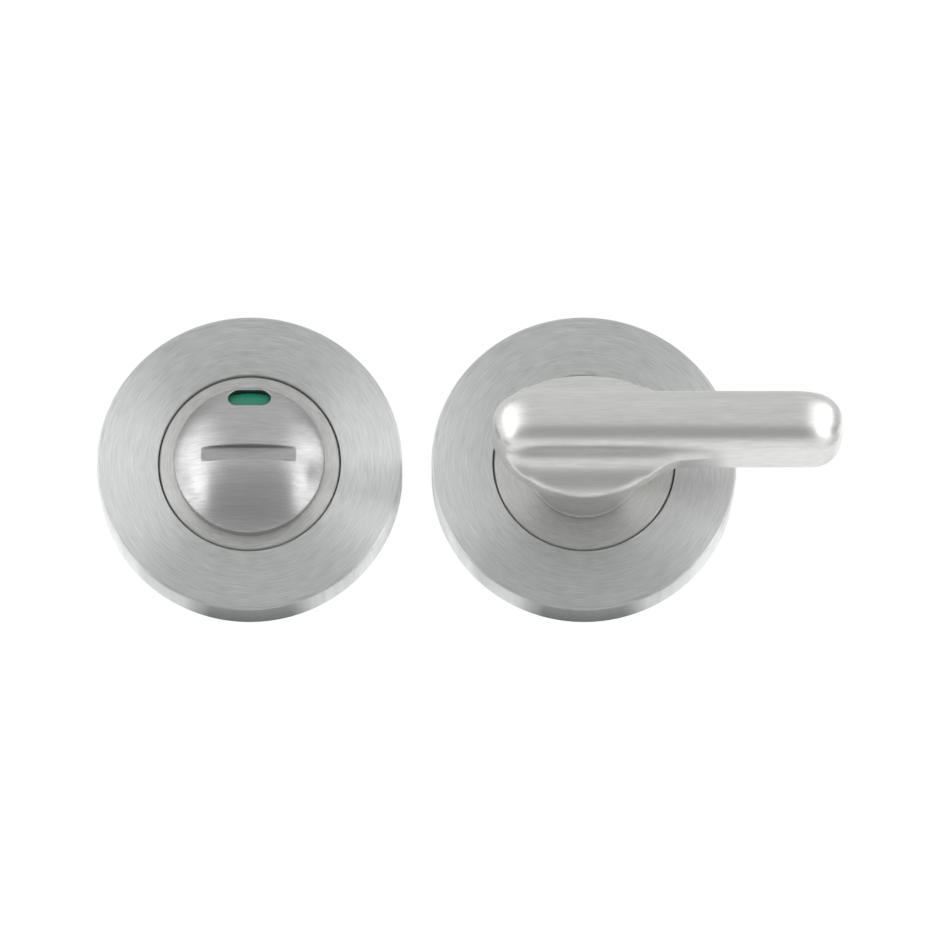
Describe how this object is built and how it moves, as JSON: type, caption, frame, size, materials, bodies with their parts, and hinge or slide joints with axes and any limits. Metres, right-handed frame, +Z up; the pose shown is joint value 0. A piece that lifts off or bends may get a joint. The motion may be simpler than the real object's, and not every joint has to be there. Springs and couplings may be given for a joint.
{
  "type": "bathroom thumb turn lock",
  "caption": "Bathroom lock set: a round rose with a lever thumb turn, and a matching rose with a domed coin release and an indicator window.",
  "frame": {"origin": "centre of the thumb turn's rose on the plane of the door face", "axes": "+Y into the door, so both faces look along -Y; +Z up the door; +X along the lever at rest"},
  "size_m": [0.1261, 0.0951, 0.052],
  "materials": {
    "satin_rose": "stainless steel, turned with a circular satin grain",
    "satin_boss": "stainless steel, turned with a circular satin grain",
    "satin_lever": "cast stainless steel, satin polished along the lever",
    "satin_dome": "stainless steel, satin brushed straight across",
    "plated_steel": "zinc plated steel",
    "spring_steel": "blackened spring steel",
    "nylon": "moulded natural nylon",
    "indicator": "moulded plastic with green and red fields"
  },
  "bodies": {
    "roses": {"turn_rose_cover": "satin_rose", "turn_base_plate": "satin_boss", "turn_grip_ring": "nylon", "turn_bush": "nylon", "turn_washer": "nylon", "fixing_bolts": "plated_steel", "release_rose_cover": "satin_rose", "release_base_plate": "satin_boss", "release_grip_ring": "nylon", "release_bush": "nylon", "release_washer": "nylon", "indicator_cap": "indicator", "bolt_sleeves": "plated_steel"},
    "turn": {"thumb_turn": "satin_lever", "spindle": "plated_steel", "spindle_pin": "spring_steel", "turn_circlip": "spring_steel", "turn_disc_spring": "spring_steel"},
    "release": {"release_dome": "satin_dome", "release_stem": "plated_steel", "release_circlip": "spring_steel", "release_disc_spring": "spring_steel"}
  },
  "joints": [
    {"name": "turn_hinge", "type": "hinge", "parent": "roses", "child": "turn", "pos_m": [0, 0, 0], "axis": [0, -1, 0], "range_deg": [-90, 90]},
    {"name": "release_hinge", "type": "hinge", "parent": "roses", "child": "release", "pos_m": [-0.057, 0, 0], "axis": [0, -1, 0], "range_deg": [-90, 90]}
  ],
  "couplings": [
    {"joint": "release_hinge", "follows": "turn_hinge", "ratio": -1}
  ]
}
